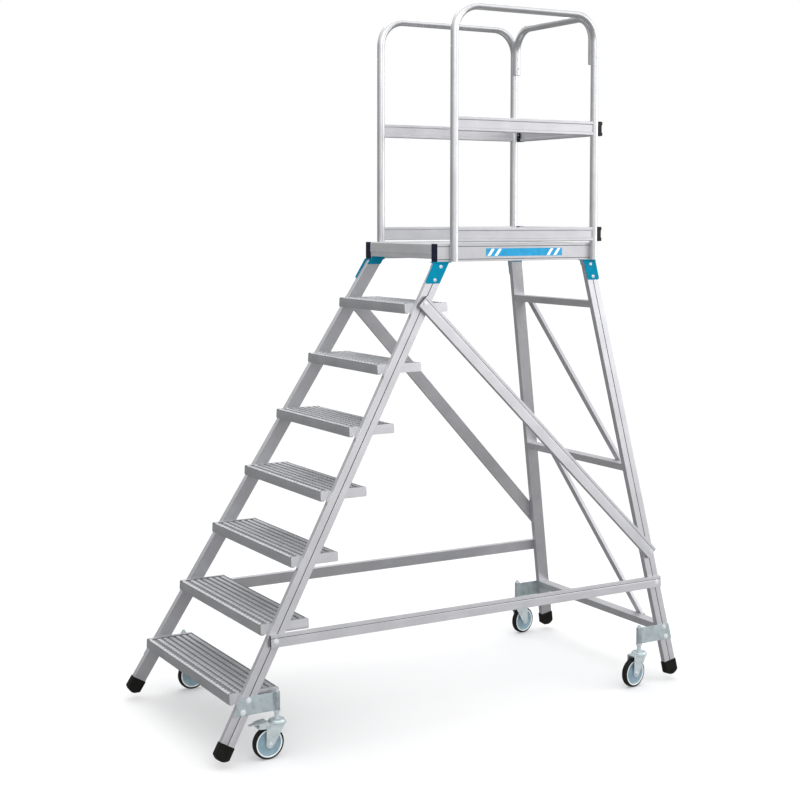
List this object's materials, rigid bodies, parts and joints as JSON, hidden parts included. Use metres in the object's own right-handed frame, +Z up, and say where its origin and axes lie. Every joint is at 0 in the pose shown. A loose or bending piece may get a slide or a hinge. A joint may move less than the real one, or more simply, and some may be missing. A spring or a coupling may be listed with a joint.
{
  "type": "rolling warehouse ladder",
  "caption": "Mobile aluminium platform steps with splayed stiles, ribbed treads, a railed platform and spring-loaded swivel castors that let rubber feet take the load.",
  "frame": {"origin": "on the floor under the middle of the overall box", "axes": "+X from the steps towards the back of the platform, +Y to the climber's left, +Z up"},
  "size_m": [2.2215, 1.0046, 2.941],
  "materials": {
    "profile_aluminium": "satin extruded",
    "tread_aluminium": "satin extruded",
    "tube_aluminium": "satin drawn",
    "galvanised_steel": "zinc plated",
    "fastener_steel": "zinc plated",
    "spring_steel": "oiled",
    "blue_bracket": "powder coated",
    "navy_plastic": "moulded",
    "black_plastic": "moulded",
    "wheel_plastic": "moulded",
    "tyre_rubber": "matte",
    "foot_rubber": "matte"
  },
  "bodies": {
    "frame": {"castor_brackets_front": "galvanised_steel", "castor_brackets_rear": "galvanised_steel", "castor_spring_front_left": "spring_steel", "castor_spring_front_right": "spring_steel", "castor_spring_rear_left": "spring_steel", "castor_spring_rear_right": "spring_steel", "cross_members": "profile_aluminium", "deck_planks": "tread_aluminium", "diagonal_braces": "profile_aluminium", "foot_caps": "foot_rubber", "frame_fasteners": "fastener_steel", "front_stile_left": "profile_aluminium", "front_stile_right": "profile_aluminium", "handrail_left": "tube_aluminium", "handrail_right": "tube_aluminium", "horizontal_braces": "profile_aluminium", "joint_brackets": "blue_bracket", "platform_end_caps": "navy_plastic", "platform_nosing": "tread_aluminium", "platform_rear_beam": "profile_aluminium", "platform_side_left": "profile_aluminium", "platform_side_right": "profile_aluminium", "rail_end_caps": "black_plastic", "rear_diagonals": "profile_aluminium", "rear_guard": "tube_aluminium", "rear_rails": "profile_aluminium", "rear_stile_left": "profile_aluminium", "rear_stile_right": "profile_aluminium", "side_knee_rails": "profile_aluminium", "side_toe_boards": "profile_aluminium", "tread_1": "tread_aluminium", "tread_2": "tread_aluminium", "tread_3": "tread_aluminium", "tread_4": "tread_aluminium", "tread_5": "tread_aluminium", "tread_6": "tread_aluminium", "tread_7": "tread_aluminium", "tread_cheeks": "tread_aluminium"},
    "plunger_front_right": {"castor_stem_front_right": "galvanised_steel"},
    "swivel_front_right": {"castor_fork_front_right": "galvanised_steel", "castor_axle_front_right": "galvanised_steel"},
    "wheel_front_right": {"castor_wheel_front_right": "wheel_plastic", "castor_tyre_front_right": "tyre_rubber"},
    "pedal_front_right": {"brake_pedal_front_right": "galvanised_steel"},
    "plunger_front_left": {"castor_stem_front_left": "galvanised_steel"},
    "swivel_front_left": {"castor_fork_front_left": "galvanised_steel", "castor_axle_front_left": "galvanised_steel"},
    "wheel_front_left": {"castor_wheel_front_left": "wheel_plastic", "castor_tyre_front_left": "tyre_rubber"},
    "pedal_front_left": {"brake_pedal_front_left": "galvanised_steel"},
    "plunger_rear_right": {"castor_stem_rear_right": "galvanised_steel"},
    "swivel_rear_right": {"castor_fork_rear_right": "galvanised_steel", "castor_axle_rear_right": "galvanised_steel"},
    "wheel_rear_right": {"castor_wheel_rear_right": "wheel_plastic", "castor_tyre_rear_right": "tyre_rubber"},
    "plunger_rear_left": {"castor_stem_rear_left": "galvanised_steel"},
    "swivel_rear_left": {"castor_fork_rear_left": "galvanised_steel", "castor_axle_rear_left": "galvanised_steel"},
    "wheel_rear_left": {"castor_wheel_rear_left": "wheel_plastic", "castor_tyre_rear_left": "tyre_rubber"}
  },
  "joints": [
    {"name": "press_front_right", "type": "slide", "parent": "frame", "child": "plunger_front_right", "axis": [0, 0, 1], "range_m": [0, 0.024], "stiffness_N_per_m": 4000, "springref_m": -0.045, "deforming": ["castor_spring_front_right"]},
    {"name": "swivel_front_right", "type": "hinge", "parent": "plunger_front_right", "child": "swivel_front_right", "pos_m": [-0.8527, -0.468, 0.143], "axis": [0, 0, 1], "continuous": true},
    {"name": "roll_front_right", "type": "hinge", "parent": "swivel_front_right", "child": "wheel_front_right", "pos_m": [-0.8897, -0.468, 0.0625], "axis": [0, 1, 0], "continuous": true},
    {"name": "brake_front_right", "type": "hinge", "parent": "swivel_front_right", "child": "pedal_front_right", "pos_m": [-0.8967, -0.468, 0.134], "axis": [0, 1, 0], "range_deg": [-12, 0]},
    {"name": "press_front_left", "type": "slide", "parent": "frame", "child": "plunger_front_left", "axis": [0, 0, 1], "range_m": [0, 0.024], "stiffness_N_per_m": 4000, "springref_m": -0.045, "deforming": ["castor_spring_front_left"]},
    {"name": "swivel_front_left", "type": "hinge", "parent": "plunger_front_left", "child": "swivel_front_left", "pos_m": [-0.8527, 0.468, 0.143], "axis": [0, 0, 1], "continuous": true},
    {"name": "roll_front_left", "type": "hinge", "parent": "swivel_front_left", "child": "wheel_front_left", "pos_m": [-0.8157, 0.468, 0.0625], "axis": [0, -1, 0], "continuous": true},
    {"name": "brake_front_left", "type": "hinge", "parent": "swivel_front_left", "child": "pedal_front_left", "pos_m": [-0.8087, 0.468, 0.134], "axis": [0, -1, 0], "range_deg": [-12, 0]},
    {"name": "press_rear_right", "type": "slide", "parent": "frame", "child": "plunger_rear_right", "axis": [0, 0, 1], "range_m": [0, 0.024], "stiffness_N_per_m": 4000, "springref_m": -0.045, "deforming": ["castor_spring_rear_right"]},
    {"name": "swivel_rear_right", "type": "hinge", "parent": "plunger_rear_right", "child": "swivel_rear_right", "pos_m": [0.9033, -0.468, 0.143], "axis": [0, 0, 1], "continuous": true},
    {"name": "roll_rear_right", "type": "hinge", "parent": "swivel_rear_right", "child": "wheel_rear_right", "pos_m": [0.86686, -0.47442, 0.0625], "axis": [-0.1736, 0.9848, 0], "continuous": true},
    {"name": "press_rear_left", "type": "slide", "parent": "frame", "child": "plunger_rear_left", "axis": [0, 0, 1], "range_m": [0, 0.024], "stiffness_N_per_m": 4000, "springref_m": -0.045, "deforming": ["castor_spring_rear_left"]},
    {"name": "swivel_rear_left", "type": "hinge", "parent": "plunger_rear_left", "child": "swivel_rear_left", "pos_m": [0.9033, 0.468, 0.143], "axis": [0, 0, 1], "continuous": true},
    {"name": "roll_rear_left", "type": "hinge", "parent": "swivel_rear_left", "child": "wheel_rear_left", "pos_m": [0.93974, 0.47442, 0.0625], "axis": [0.1736, -0.9848, 0], "continuous": true}
  ]
}
